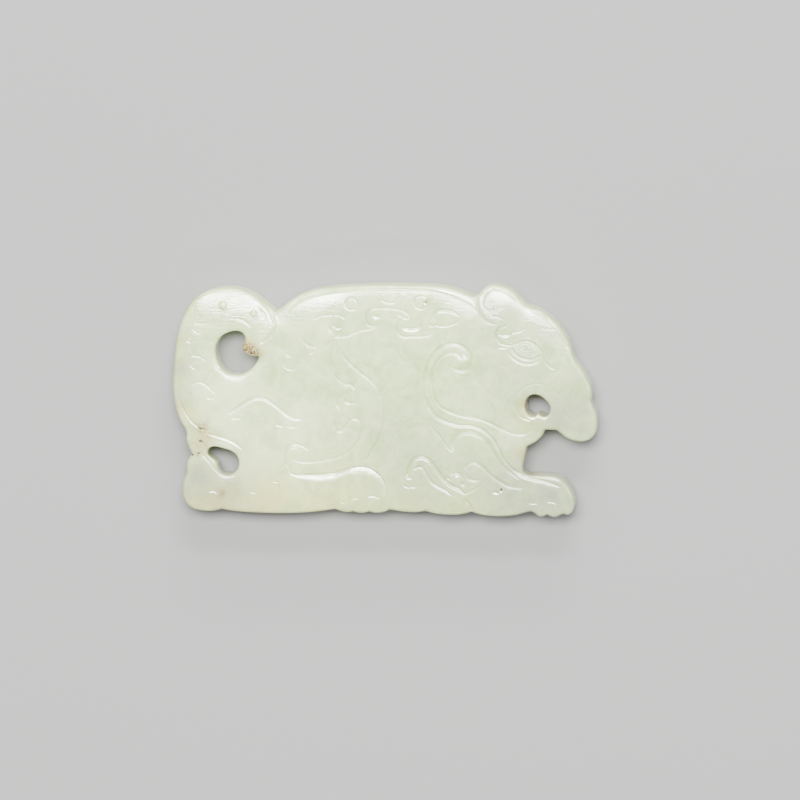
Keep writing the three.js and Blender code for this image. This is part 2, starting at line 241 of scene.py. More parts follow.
MANE = [
    stroke((250.3, 128), (250.6, 138), (252.5, 149), (256, 157), (261.5, 164.5), (268.5, 170),
           (276, 172.5), (284, 172), (291, 168.6), (296, 163), (297.3, 156), (295, 148.8),
           (289.5, 145.4), (282.5, 146.4), (277, 150.3), left=0.25, right=0.4, depth=0.22,
           taper=1.0),
    stroke((258.8, 124), (258, 136), (260, 147), (264.5, 155.5), (270.5, 160.3), (277, 162.3),
           (284, 161.6), (289.5, 156.5), left=0.4, right=0.17, depth=0.15),
    stroke((250, 133), (250.8, 124), (253, 116), (257.5, 108), (263, 101), (269, 96.6), (277, 93.5),
           (285, 92), (295, 91.6), (303, 89.6), (311, 85.8), (317, 80.5), (321, 75), (325, 68),
           (328.5, 61), (332.5, 54.5), (338, 48.8), (345, 44), (353, 40.8), (362, 38.6),
           (370, 36.9), (377, 34.5), (384, 31.5), left=0.17, right=0.45, depth=0.24, taper=2.0),
    stroke((258.8, 125), (261, 117), (266, 110), (273, 105.6), (282, 102), (291, 99.6), (301, 98),
           (310, 95.7), (317, 92.7), (324, 89.2), (331, 86), (338, 83.3), (345, 82.2), (352, 83.7),
           (357, 87), left=0.4, right=0.17, depth=0.18),
    stroke((256, 91), (262, 85.3), (267, 79.5), (271, 73), (275, 67.6), (279, 65.3), depth=0.16),
    stroke((279.5, 66), (280.2, 73), (282.5, 78.7), (287, 82.3), (294, 83.2), (302, 81.5),
           (309, 77.8), (314, 72.5), (318, 66), (323, 58), (329.5, 50), (336.5, 44), (344, 38.4),
           left=1.1, right=0.17, depth=0.26, taper=1.6),
    faint((253, 111), (255, 98), (255.5, 90)),
    faint((223, 102), (229, 99), (234, 95), depth=0.025),
]
FORELEG = [
    stroke((233, 38), (234.6, 46), (237, 53.2), (240.5, 57.8), (245.5, 59.6), (251, 59),
           (257, 55.5), (262, 49), (267, 42), (272, 36), (278, 31.2), (285, 27.8), (291, 22.5),
           left=0.3, right=0.5, depth=0.24),
    stroke((291, 22.5), (297, 26), (303, 29.5), (307.5, 32.5), depth=0.12),
    stroke((290, 19), (294, 13.5), (299.5, 5), left=0.4, right=0.4, depth=0.16, taper=0.6),
    faint((282, 21), (289, 14.5), (295, 8)),
    stroke((240.5, 47.5), (245, 49.7), (250, 48.6), (252.5, 44), (255.5, 39.5), (259, 34),
           (265.5, 30), (272, 26.6), (277, 21.5), left=0.17, right=0.4, depth=0.15),
    nick((239, 47.3), (245, 49.7), (251, 48.4), depth=0.22),
    faint((229, 32), (235, 28)),
    nick((237, 29), (243.5, 31), depth=0.1),
    nick((233, 38), (240, 38.5), depth=0.1),
    nick((272, 41), (276, 37), depth=0.2),
    stroke((278, 42), (282, 44), (287, 42), (290, 36.5), (287, 32.5), depth=0.18),
    nick((287.5, 35), (290, 31.5), depth=0.22),
    stroke((291, 44), (293.5, 39.5), (298, 36.6), (304, 37), (307.5, 40.5), left=0.45, depth=0.2),
    stroke((290.5, 46), (293, 50.8), (298.5, 53.8), (304, 52.4), (310, 48), (315, 43), (321, 38.6),
           (327, 34.4), (333, 31), (340, 29.6), (347, 29.4), left=0.6, right=0.17, depth=0.18),
    nick((317.5, 25), (325.5, 24.2), left=0.45, right=0.46, depth=0.1),
    faint((372, 15), (377, 16), (381, 14)),
    faint((355, 14), (363, 14)),
]
HEAD = [
    stroke((302.4, 221), (301.8, 213), (303.8, 205), (308, 198), (314, 193.6), (321, 192), left=0.6,
           right=0.17, depth=0.26, taper=1.0),
    stroke((344, 212), (341.5, 214.5), (338, 218), (334, 221.5), (329, 224.5), (323, 225.8),
           (318, 225.4), (313, 222.6), (310, 218), (309, 212), (311, 207.5), (315, 205.5),
           (319, 207.5), (318.5, 211), left=0.2, right=0.17, depth=0.09, taper=1.0),
    faint((316, 199), (322, 199.5), (328, 197)),
    stroke((331, 191), (325, 188.7), (320.8, 183), (322.2, 176.6), (328, 172.3), (337, 170.6),
           left=0.4, right=0.17, depth=0.2, taper=1.0),
    nick((325, 181.6), (331, 181.6), (337, 183), left=0.2, right=0.45, depth=0.12),
    faint((337, 183), (343, 184.4), (349, 187), depth=0.05),
    stroke((336, 170.4), (343, 173.8), (351, 175.6), (358, 173.8), (363, 169.5), (366.5, 164),
           depth=0.17),
    stroke((336, 170.4), (339.5, 164.5), (345, 160), (352, 157.6), (360, 158), (366.5, 162),
           depth=0.13, taper=0.6),
    stroke((331.5, 167), (337, 160), (344, 155), (352, 152.8), (360, 154.3), (367, 158.4),
           right=0.25, depth=0.1),
    stroke((367, 164), (369.5, 156.5), (373.5, 151.5), (378, 148), depth=0.14),
    stroke((343, 212.5), (357, 207.5), (371, 199), (381, 187.5), (388.5, 174), (393.5, 164.5),
           left=0.2, right=0.2, depth=0.09, taper=2.5),
    faint((352, 206.5), (364, 200.4), (372, 194.6), (380, 188.4), depth=0.07),
    faint((324, 169), (332, 168.2), depth=0.05),
    stroke(*arc(361, 115, 21.5, 19.5, 175, 254), left=0.3, right=0.2, depth=0.07),
    stroke(*arc(362, 114, 21.5, 19.5, 60, 165), left=0.6, right=0.2, depth=0.06),
    faint((377, 120), (382, 115), (387, 109.5), (390.5, 103), depth=0.03),
]
FRONT_STROKES = TAIL + HOCK + HAUNCH + BACK_AND_FLANK + MANE + FORELEG + HEAD

# The back of the slab carries the lines that set off the limbs and the head, cut broader.
BACK_STROKES = [
    stroke((56, 100), (66, 108), (80, 116), (89, 117), (98, 113.5), (108, 106), (119, 98.5),
           (129, 96), left=0.25, right=0.25, depth=0.2),
    stroke((115, 46), (122, 41), (132, 40.7), (147, 41.3), (160, 43), (172, 46.5), (183, 49),
           (191, 49), (199, 46.5), (205, 42), (210, 35.5), (213, 27), (214, 18), left=0.25,
           right=0.9, depth=0.3),
    stroke((251, 125), (254, 115), (260, 106.5), (269, 97), (278, 93), (292, 91.5), (303, 89.5),
           (312, 85.5), (319, 78.5), (325, 68), (331, 57), (338, 48.5), (347, 43), (358, 39),
           (370, 36.5), (383, 32), left=0.25, right=0.3, depth=0.22),
    stroke((258, 125), (261, 116.5), (267, 109.5), (276, 104.5), (287, 100.5), (300, 98),
           (311, 95.5), (320, 91.5), (331, 86), (342, 82.5), (351, 83.5), (357, 87.5), left=0.25,
           right=0.25, depth=0.2),
    stroke((302, 219), (301.8, 212), (303.5, 204.5), (308, 197.5), (315, 192.8), (322, 191.5),
           depth=0.2),
    stroke((331, 191.3), (325, 188.5), (320.8, 183), (321.8, 176.5), (327, 172), (337, 170.3),
           depth=0.2),
    stroke((336, 170), (343, 174), (351, 175.8), (358, 174), (363.5, 169.5), (367, 164), depth=0.2),
    stroke((331, 167), (337, 159.5), (345, 154.6), (353, 153), (361, 154.6), (367, 158), depth=0.2),
]

# Low round forms on the front: middle and radii in squares, rise in millimetres.
MOUNDS = [
    {"at": (352, 166), "radii": (12, 7.5), "rise": 0.05},  # eyeball
    {"at": (288, 154.5), "radii": (7, 7), "rise": 0.12},  # boss in the mane's curl
    {"at": (121, 63), "radii": (8, 6), "rise": 0.08},  # hip curl
    {"at": (283, 37), "radii": (5, 5), "rise": 0.08},  # elbow spirals
    {"at": (300, 44.5), "radii": (7, 6), "rise": 0.06},
]
PEARLS = [{"at": (50.5, 208.5), "radius": 4.4}, {"at": (81, 200.5), "radius": 3.6}]
# How far each hole, from the largest to the smallest, leans through the slab: the shift of its
# outline at the front and at the back, in squares.
HOLE_LEANS = [((0, -1.2), (-0.4, -1.8)), ((-0.8, -1.5), (-2.6, -2.2)), ((-0.8, 0.6), (0.7, 0.3))]
# How much narrower each hole is than it is drawn: the point that stays, and the shares of its
# width and height that are left.
HOLE_NARROWINGS = [((69, 169), (1.0, 0.92)), ((66, 62.5), (0.94, 0.9)), ((180, 100), (1.0, 1.0))]
# Swellings of the walls inside the holes: middle and radius in squares, swell in millimetres.
WALL_SWELLS = [((45.5, 52.5), 3.5, 0.45)]
PITS = [
    {"at": (252, 213), "radius": 1.6, "depth": 0.1},
    {"at": (327, 26), "radius": 1.3, "depth": 0.12},
]
MOUTH_DISH = {"at": (362, 113), "radius": 20, "depth": 0.1}

# Where the face falls further towards the outline: middle and radius in squares, and strength.
SHOULDERS = [
    ((58, 222), 36, 0.7), ((88, 203), 9, 0.4), ((322, 228), 20, 0.5), ((148, 224), 24, 0.5),
    ((287, 218), 18, 0.22), ((362, 205), 24, 0.2),
]

# Where it stays flatter towards the edge.
FLATS = [((360, 44), 30, 0.75), ((408, 150), 36, 0.6), ((410, 100), 30, 0.5)]

# Colour of the stone, and painted light and painted shade laid over it: middle and radius in
# squares, and strength.
WARM_PATCHES = [
    ((95, 12), 38, 0.6), ((48, 18), 26, 0.85), ((170, 12), 35, 0.35), ((150, 4), 55, 0.4),
    ((30, 75), 16, 0.35), ((240, 5), 30, 0.4), ((300, 5), 30, 0.3), ((30, 100), 20, 0.2),
    ((352, 100), 12, 0.5), ((77, 166), 8, 1.0), ((4, 150), 9, 0.5), ((4, 130), 8, 0.5),
    ((10, 106), 10, 0.6), ((20, 205), 12, 0.45), ((350, 112), 6, 1.0), ((8, 175), 8, 0.45),
    ((360, 48), 14, 0.7), ((347, 62), 8, 0.7), ((29, 74), 11, 0.7), ((28, 12), 22, 0.7),
    ((12, 18), 14, 0.7), ((20, 95), 10, 0.5), ((365, 103), 5, 0.9),
]
# Painted light: the stone is made lighter where more light falls, at the rump, along the top and
# round the hock hole.
PAINTED_LIGHT_PATCHES = [
    ((50, 112), 34, 0.7), ((125, 85), 34, 0.6), ((62, 150), 30, 0.5), ((130, 190), 50, 0.3),
    ((300, 215), 60, 0.3), ((50, 62), 15, 1.0), ((80, 52), 30, 0.7), ((110, 40), 24, 0.4),
    ((28, 100), 14, 0.5),
]
# Partly greyer stone and partly painted shade, darker where less light falls.
GREY_AND_SHADE_PATCHES = [
    ((345, 25), 45, 0.9), ((385, 30), 30, 0.9), ((400, 105), 35, 0.8), ((300, 45), 30, 0.5),
    ((20, 35), 20, 0.8), ((345, 130), 45, 0.4), ((50, 27), 26, 0.8), ((378, 22), 34, 1.0),
    ((330, 15), 30, 0.7), ((385, 100), 30, 0.8), ((28, 32), 22, 1.0), ((252, 42), 46, 0.55),
    ((228, 70), 38, 0.4), ((262, 85), 26, 0.3), ((6, 145), 15, 0.7), ((6, 118), 14, 0.6),
    ((12, 22), 15, 1.0), ((320, 198), 34, 0.4), ((365, 185), 30, 0.4), ((10, 180), 14, 0.3),
]
BROWN_SPOTS = [
    ((76, 165), 6.5, 1.6), ((71, 169), 5, 1.0), ((83, 161), 5.5, 1.3), ((30, 86), 5.5, 1.2),
    ((32, 72), 9, 0.4), ((24, 61), 6, 0.6), ((36, 78), 5, 0.6), ((49, 21), 3.5, 1.0),
    ((22, 87), 5, 0.5), ((79, 162), 4.5, 1.4), ((252, 213), 2.2, 0.8), ((19, 71), 5, 0.4),
    ((118, 29), 3, 0.2), ((30, 50), 6, 0.3), ((34, 93), 4, 0.4),
]
# The side walls: how much painted light lightens them, and the stains found only there.
WALL_PAINTED_LIGHT = 0.8
WALL_STAINS = [
    ((351, 108), 7, 1.0), ((351, 116), 6, 1.2), ((356, 121), 6, 1.1), ((369, 84), 5, 0.45),
    ((356, 47), 7, 0.9), ((347, 54), 6, 0.5), ((79, 162), 5, 1.1),
]
# Where the surface has small pits, and where it is rubbed with fine scratches.
PITTED = [((352, 166), 9, 0.9), ((318, 206), 7, 0.5), ((101, 115), 5, 0.3), ((285, 160), 8, 0.3)]
RUBBED = [
    ((60, 212), 34, 0.6), ((92, 200), 24, 0.5), ((318, 212), 16, 0.4), ((330, 75), 18, 0.6),
    ((130, 212), 30, 0.3), ((290, 208), 24, 0.25), ((375, 190), 26, 0.3), ((20, 170), 26, 0.3),
    ((180, 50), 40, 0.25), ((300, 55), 30, 0.2),
]
# On the front only.
DARK_SPECKS = [
    ((27.5, 73.2), 1.2, 1.0), ((29.5, 72.6), 1.0, 1.0), ((26, 61), 1.1, 0.9),
    ((19.5, 59), 1.2, 1.0), ((21, 57.5), 0.9, 0.8), ((28, 86), 1.2, 0.7), ((26.5, 85.2), 1.0, 0.6),
    ((18, 121), 0.8, 0.7), ((106, 29), 0.8, 0.7), ((163, 142), 0.9, 0.8), ((327, 28), 1.2, 1.0),
    ((34, 93), 0.7, 0.7), ((252.5, 213.5), 1.0, 0.8), ((252, 210), 0.8, 0.7), ((68, 26), 0.7, 0.5),
    ((33, 69), 0.8, 0.6), ((79, 161.5), 1.2, 0.8), ((76.5, 163.2), 0.9, 0.7),
    ((81.8, 162.4), 1.0, 0.7), ((78.5, 164.6), 0.8, 0.6), ((74.5, 166), 0.8, 0.5),
]


def on_slab(points):
    """Squares to millimetres in the part's frame."""
    middle = ((DRAWN_LEFT + DRAWN_RIGHT) / 2, (DRAWN_BOTTOM + DRAWN_TOP) / 2)
    return (np.asarray(points, float) - middle) * SQUARE


# Plane geometry.
def slice_loops(node, height):
    """The closed outlines, in millimetres, along which a level plane cuts a solid."""
    bm = bmesh.new()
    bm.from_mesh(node.data)
    bmesh.ops.remove_doubles(bm, verts=bm.verts, dist=SAME_PLACE * MM)
    everything = bm.verts[:] + bm.edges[:] + bm.faces[:]
    bmesh.ops.bisect_plane(bm, geom=everything, plane_co=(0, 0, height * MM), plane_no=(0, 0, 1),
                           clear_inner=True, clear_outer=True)
    loops = []
    seen = set()
    for first in bm.verts:
        if first in seen:
            continue
        loop = []
        here = first
        while here is not None:
            seen.add(here)
            loop.append((here.co.x / MM, here.co.y / MM))
            onward = [e.other_vert(here) for e in here.link_edges]
            here = next((v for v in onward if v not in seen), None)
        loops.append(np.array(loop))
    bm.free()
    return [loop for loop in loops if len(loop) > 3]


def turns(loop):
    """The turn at each point of a closed outline, in degrees, to the left positive."""
    before = loop - np.roll(loop, 1, 0)
    after = np.roll(loop, -1, 0) - loop
    cross = before[:, 0] * after[:, 1] - before[:, 1] * after[:, 0]
    return np.degrees(np.arctan2(cross, (before * after).sum(1)))


def area(loop):
    """The area inside a closed outline, positive where it runs anticlockwise."""
    x, y = loop.T
    return 0.5 * float((x * np.roll(y, -1) - np.roll(x, -1) * y).sum())


def bend_between(before, here, there, after, pieces):
    """Points from here to there, there left out, on a smooth curve that heeds its neighbours."""
    t = (np.arange(pieces) / pieces)[:, None]
    return 0.5 * (2 * here + (there - before) * t
                  + (2 * before - 5 * here + 4 * there - after) * t**2
                  + (3 * here - before - 3 * there + after) * t**3)


def smoothed(loop, step):
    """The outline through the same points, with its bends rounded and its sharp corners kept."""
    loop = loop[np.abs(turns(loop)) > STRAIGHT_TURN]
    turn = np.abs(turns(loop))
    beside = np.maximum(np.roll(turn, 1), np.roll(turn, -1))
    corner = (turn > CORNER_TURN) & (turn > CORNER_CONTRAST * beside)
    made = []
    count = len(loop)
    for i in range(count):
        here, there = loop[i], loop[(i + 1) % count]
        before = 2 * here - there if corner[i] else loop[i - 1]
        after = 2 * there - here if corner[(i + 1) % count] else loop[(i + 2) % count]
        pieces = max(1, round(float(np.linalg.norm(there - here)) / step))
        made.append(bend_between(before, here, there, after, pieces))
    return np.concatenate(made)


def inward(loop):
    """Unit vectors that point into the stone, which is on the left of the outline."""
    along = np.roll(loop, -1, 0) - np.roll(loop, 1, 0)
    along /= np.linalg.norm(along, axis=1, keepdims=True)
    return np.stack([-along[:, 1], along[:, 0]], 1)


def curve_through(points, step):
    """An open smooth line through the points, in short straight pieces."""
    points = np.asarray(points, float)
    padded = np.concatenate([[2 * points[0] - points[1]], points, [2 * points[-1] - points[-2]]])
    made = []
    for i in range(1, len(points)):
        before, here, there, after = padded[i - 1:i + 3]
        pieces = max(1, math.ceil(float(np.linalg.norm(there - here)) / step))
        made.append(bend_between(before, here, there, after, pieces))
    return np.concatenate(made + [points[-1:]])


def to_segments(points, starts, ends):
    """For each point: its distance to the nearest segment, the side of it that the point is on,
    and how far along the line that is."""
    span = ends - starts
    length = np.linalg.norm(span, axis=1)
    before = np.concatenate([[0], np.cumsum(length)[:-1]])
    distance = np.empty(len(points))
    side = np.empty(len(points))
    along = np.empty(len(points))
    for low in range(0, len(points), POINTS_AT_ONCE):
        group = slice(low, low + POINTS_AT_ONCE)
        to_point = points[group, None, :] - starts
        t = np.clip((to_point * span).sum(2) / np.maximum(length**2, TINY), 0, 1)
        gap = to_point - t[..., None] * span
        squared = (gap**2).sum(2)
        best = squared.argmin(1)
        rows = np.arange(len(best))
        distance[group] = np.sqrt(squared[rows, best])
        x, y = to_point[rows, best].T
        side[group] = np.sign(span[best, 0] * y - span[best, 1] * x)
        along[group] = before[best] + t[rows, best] * length[best]
    return distance, side, along


def to_loops(points, loops):
    """The distance from each point to the nearest outline."""
    starts = np.concatenate(loops)
    ends = np.concatenate([np.roll(loop, -1, 0) for loop in loops])
    return to_segments(points, starts, ends)[0]


def inside(points, loops):
    """Whether each point is in the stone, by counting the outlines crossed on the way out."""
    starts = np.concatenate(loops)
    ends = np.concatenate([np.roll(loop, -1, 0) for loop in loops])
    run, rise = (ends - starts).T
    rise = np.where(np.abs(rise) < TINY, TINY, rise)
    found = np.empty(len(points), bool)
    for low in range(0, len(points), POINTS_AT_ONCE):
        group = slice(low, low + POINTS_AT_ONCE)
        x = points[group, None, 0]
        y = points[group, None, 1]
        spans = (starts[:, 1] > y) != (ends[:, 1] > y)
        crossing = starts[:, 0] + (y - starts[:, 1]) / rise * run
        found[group] = (spans & (x < crossing)).sum(1) % 2 == 1
    return found


# Height of the faces.
def away_from(points, at, radius):
    """The distance of each point from a place, in radii; place and radius are in squares."""
    return np.linalg.norm(points - on_slab(at), axis=1) / (radius * SQUARE)


def spot_field(points, spots):
    """The strength of the spots at each point, where the strongest counts."""
    field = np.zeros(len(points))
    for at, radius, strength in spots:
        away = away_from(points, at, radius)
        field = np.maximum(field, strength * np.exp(-SPOT_FALL * away**2))
    return field


def near_box(points, line, reach):
    """The indices of the points that can be within reach of a line."""
    low, high = line.min(0) - reach, line.max(0) + reach
    return np.nonzero(((points > low) & (points < high)).all(1))[0]


def fading(cut, along, total):
    """How a cut runs out towards its two ends, from 1 down to its least at the tips."""
    to_tip = np.minimum(along, total - along)
    taper = min(cut["taper"], total / TAPER_LIMIT)
    return TIP_SHARE + (1 - TIP_SHARE) * np.sin(np.clip(to_tip / taper, 0, 1) * math.pi / 2)


def carve(points, strokes):
    """The depth of the carving at each point, and whether fine points are needed there."""
    height = np.zeros(len(points))
    fine = np.zeros(len(points), bool)
    for cut in strokes:
        line = curve_through(on_slab(cut["points"]), ROW_STEP)
        widest = max(cut["left"], cut["right"])
        close = near_box(points, line, widest + FINE_MARGIN)
        if not len(close):
            continue
        distance, side, along = to_segments(points[close], line[:-1], line[1:])
        total = float(np.linalg.norm(np.diff(line, axis=0), axis=1).sum())
        fade = fading(cut, along, total)
        width = np.where(side > 0, cut["left"], cut["right"])
        if widest > WIDE_CUT:
            fine[close] |= distance < width + FINE_MARGIN
        share = np.clip(1 - distance / (width * fade), 0, 1)
        bend = np.where(width > SLOPE_FROM, SLOPE_BEND, LINE_BEND)
        height[close] = np.minimum(height[close], -cut["depth"] * fade * share**bend)
    return height, fine


def thinned(points):
    """The points less those that crowd together."""
    _, kept = np.unique(np.round(points / LEAST_GAP).astype(int), axis=0, return_index=True)
    return points[np.sort(kept)]


def stroke_rows(strokes):
    """Points in rows along each cut, so that its edges and its bottom come out sharp."""
    made = []
    for cut in strokes:
        line = curve_through(on_slab(cut["points"]), ROW_STEP)
        lengths = np.linalg.norm(np.diff(line, axis=0), axis=1)
        along = np.concatenate([[0], np.cumsum(lengths)])
        ahead = np.gradient(line, axis=0)
        ahead /= np.linalg.norm(ahead, axis=1, keepdims=True)
        to_left = np.stack([-ahead[:, 1], ahead[:, 0]], 1)
        fade = fading(cut, along, along[-1])[:, None]
        made.append(line)
        for width, way in ((cut["left"], 1), (cut["right"], -1)):
            for share in ROW_SHARES:
                made.append(line + to_left * (way * share * width * fade))
            made.append(line + to_left * (way * (width * fade + GUARD)))
    return thinned(np.concatenate(made))


def pearl_rows():
    """Points in rings round each raised dot."""
    made = []
    for pearl in PEARLS:
        for share in PEARL_RINGS:
            reach = share * pearl["radius"]
            sides = max(PEARL_SIDES, round(PEARL_SIDES * reach))
            made.append(on_slab(arc(*pearl["at"], reach, reach, 0, 360, sides)))
    return thinned(np.concatenate(made))


def mounds(points):
    """The height of the low round forms at each point, less the pits."""
    height = np.zeros(len(points))
    for mound in MOUNDS:
        away = (points - on_slab(mound["at"])) / (np.array(mound["radii"]) * SQUARE)
        height += mound["rise"] * np.clip(1 - (away**2).sum(1), 0, 1) ** MOUND_BEND
    for pearl in PEARLS:
        away = away_from(points, pearl["at"], pearl["radius"])
        height += PEARL_RISE * np.clip(1 - away**2, 0, 1) ** PEARL_BEND
    for pit in PITS + [MOUTH_DISH]:
        away = away_from(points, pit["at"], pit["radius"])
        height -= pit["depth"] * np.clip(1 - away**2, 0, 1)
    return height


def detail_spots():
    """Places that need fine points though no stroke is near: middle and radius, in millimetres."""
    rounds = [(p["at"], p["radius"]) for p in PEARLS + PITS + [MOUTH_DISH]]
    rounds += [(m["at"], max(m["radii"])) for m in MOUNDS]
    rounds += [(at, radius) for at, radius, _ in DARK_SPECKS]
    return [(on_slab(at), radius * SQUARE + FINE_MARGIN) for at, radius in rounds]


def undulation(points, seed):
    """A few slow waves, each in its own direction."""
    random = np.random.default_rng(seed)
    height = np.zeros(len(points))
    for _ in range(WAVE_COUNT):
        bearing, start = random.uniform(0, 2 * math.pi, 2)
        wave = random.uniform(*WAVE_LENGTHS)
        run = points @ np.array([math.cos(bearing), math.sin(bearing)])
        height += np.sin(2 * math.pi * run / wave + start) / WAVE_COUNT**0.5
    return height * UNDULATION


def edge_fall(points, loops, softness=1.0):
    """How far a face lies below its plane, by the distances to the outline and to the holes."""
    to_outline = to_loops(points, loops[:1])
    nearest = to_outline
    pillow = PILLOW_DROP * (1 - spot_field(points, FLATS)) * np.exp(-to_outline / PILLOW_REACH)
    for loop, drop in zip(loops[1:], HOLE_PILLOW_DROPS):
        to_hole = to_loops(points, [loop])
        nearest = np.minimum(nearest, to_hole)
        pillow += drop * np.exp(-to_hole / HOLE_PILLOW_REACH)
    into = np.clip(1 - nearest / EDGE_REACH, 0, 1)
    rounded = EDGE_DROP * (1 - np.sqrt(np.clip(1 - into**2, 0, 1)))
    rounded += BEVEL_SLOPE * np.clip(BEVEL_REACH - to_outline, 0, None)
    rounded += HOLE_BEVEL_SLOPE * np.clip(BEVEL_REACH - nearest, 0, None)
    shoulder = SHOULDER_DROP * spot_field(points, SHOULDERS)
    shoulder *= np.exp(-to_outline / SHOULDER_REACH)
    return rounded + softness * (pillow + shoulder)


# Mesh.
def staggered(low, high, step):
    """Points of a triangular grid over a box."""
    rows = np.arange(low[1], high[1], step * math.sqrt(3) / 2)
    made = []
    for i, y in enumerate(rows):
        x = np.arange(low[0] + (step / 2 if i % 2 else 0), high[0], step)
        made.append(np.stack([x, np.full(len(x), y)], 1))
    return np.concatenate(made)


def face_points(loops, rows, strokes, fine_step, spots):
    """The points of one face inside its outline: rings that follow the edge, then a grid that is
    finer where there is carving."""
    rings = []
    for reach in EDGE_RINGS:
        ring = np.concatenate([loop + inward(loop) * reach for loop in loops])
        rings.append(ring[to_loops(ring, loops) > RING_MARGIN * reach])
    corners = np.concatenate(loops)
    low, high = corners.min(0), corners.max(0)
    rows = rows[inside(rows, loops)]
    rows = rows[to_loops(rows, loops) > EDGE_RINGS[-1] + LEAST_GAP]
    row_tree = KDTree(len(rows))
    for i, (x, y) in enumerate(rows):
        row_tree.insert((x, y, 0), i)
    row_tree.balance()
    grids = [rows]
    for step, is_fine in ((fine_step, True), (COARSE_STEP, False)):
        grid = staggered(low, high, step)
        wanted = carve(grid, strokes)[1]
        for at, radius in spots:
            wanted |= np.linalg.norm(grid - at, axis=1) < radius
        grid = grid[wanted if is_fine else ~wanted]
        grid = grid[inside(grid, loops)]
        grid = grid[to_loops(grid, loops) > EDGE_RINGS[-1] + GRID_MARGIN * step]
        clear = [row_tree.find((x, y, 0))[2] > LEAST_GAP for x, y in grid]
        grids.append(grid[np.array(clear)])
    return np.concatenate(rings + grids)


def triangulate(loops, points):
    """All vertices, outline points first, and the triangles between them that are in the stone."""
    count = sum(len(loop) for loop in loops)
    flat = np.concatenate(loops + [points])
    edges = []
    start = 0
    for loop in loops:
        edges += [(start + i, start + (i + 1) % len(loop)) for i in range(len(loop))]
        start += len(loop)
    corners = [Vector(p) for p in flat]
    verts, _, faces, origins, _, _ = delaunay_2d_cdt(corners, edges, [], 0, CROSSING_GAP)
    verts = np.array([tuple(v) for v in verts])
    triangles = np.array([tuple(f) for f in faces if len(f) == 3])
    source = np.array([min(o) if o else -1 for o in origins])
    on_edge = (source[triangles] < count).all(1)
    middle = verts[triangles].mean(1)
    keep = np.ones(len(triangles), bool)
    keep[on_edge] = inside(middle[on_edge], loops)
    return verts, triangles[keep], source


def wall_row(loops, share):
    """The outlines on the way through the slab, from the front (share 0) to the back (share 1)."""
    hollow = (2 * share - 1) ** 2
    made = [loops[0] + inward(loops[0]) * BELLY * hollow]
    for loop, (front, back), (fixed, shares) in zip(loops[1:], HOLE_LEANS, HOLE_NARROWINGS):
        lean = (1 - share) * np.array(front) + share * np.array(back)
        swell = np.zeros(len(loop))
        for at, radius, most in WALL_SWELLS:
            away = away_from(loop, at, radius)
            swell += most * np.exp(-(away**2)) * math.sin(math.pi * share)
        row = loop + inward(loop) * (BELLY * hollow - swell)[:, None]
        made.append(on_slab(fixed) + (row - on_slab(fixed)) * np.array(shares) + lean * SQUARE)
    return made


def stone_outlines():
    """The outline of the slab and then of its holes, largest first, with the stone on the left."""
    outlines = slice_loops(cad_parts[NODE], SLICE_HEIGHT)
    outlines.sort(key=lambda loop: -abs(area(loop)))
    loops = []
    for i, loop in enumerate(outlines):
        anticlockwise = area(loop) > 0
        loop = loop if anticlockwise == (i == 0) else loop[::-1]
        loops.append(smoothed(loop, OUTLINE_STEP))
    return loops


def rim_vertices(source, count):
    """For each point of the outlines, the vertex that it has become on a face."""
    rim = np.empty(count, int)
    for index in np.nonzero((source >= 0) & (source < count))[0]:
        rim[source[index]] = index
    return rim


def wall_faces(loops, levels):
    """The four-sided faces between each row of the side wall and the next."""
    faces = []
    for upper, lower in zip(levels[:-1], levels[1:]):
        start = 0
        for loop in loops:
            for i in range(len(loop)):
                j = start + (i + 1) % len(loop)
                faces.append((upper[start + i], lower[start + i], lower[j], upper[j]))
            start += len(loop)
    return faces


def colour_fields(points, on_front, on_wall):
    """How strong each colour, painted light, painted shade or finish is at each vertex."""
    fields = {
        "warm": spot_field(points, WARM_PATCHES),
        # partly greyer stone, partly painted shade
        "grey": spot_field(points, GREY_AND_SHADE_PATCHES),
        "stain": np.maximum(spot_field(points, BROWN_SPOTS),
                            spot_field(points, WALL_STAINS) * on_wall),
        "speck": spot_field(points, DARK_SPECKS) * on_front,
        "pitted": spot_field(points, PITTED),
        # painted light, on the lit patches and on all the side walls
        "pale": np.maximum(spot_field(points, PAINTED_LIGHT_PATCHES), WALL_PAINTED_LIGHT * on_wall),
        "rubbed": spot_field(points, RUBBED),
    }
    return {name: field.astype(np.float32) for name, field in fields.items()}


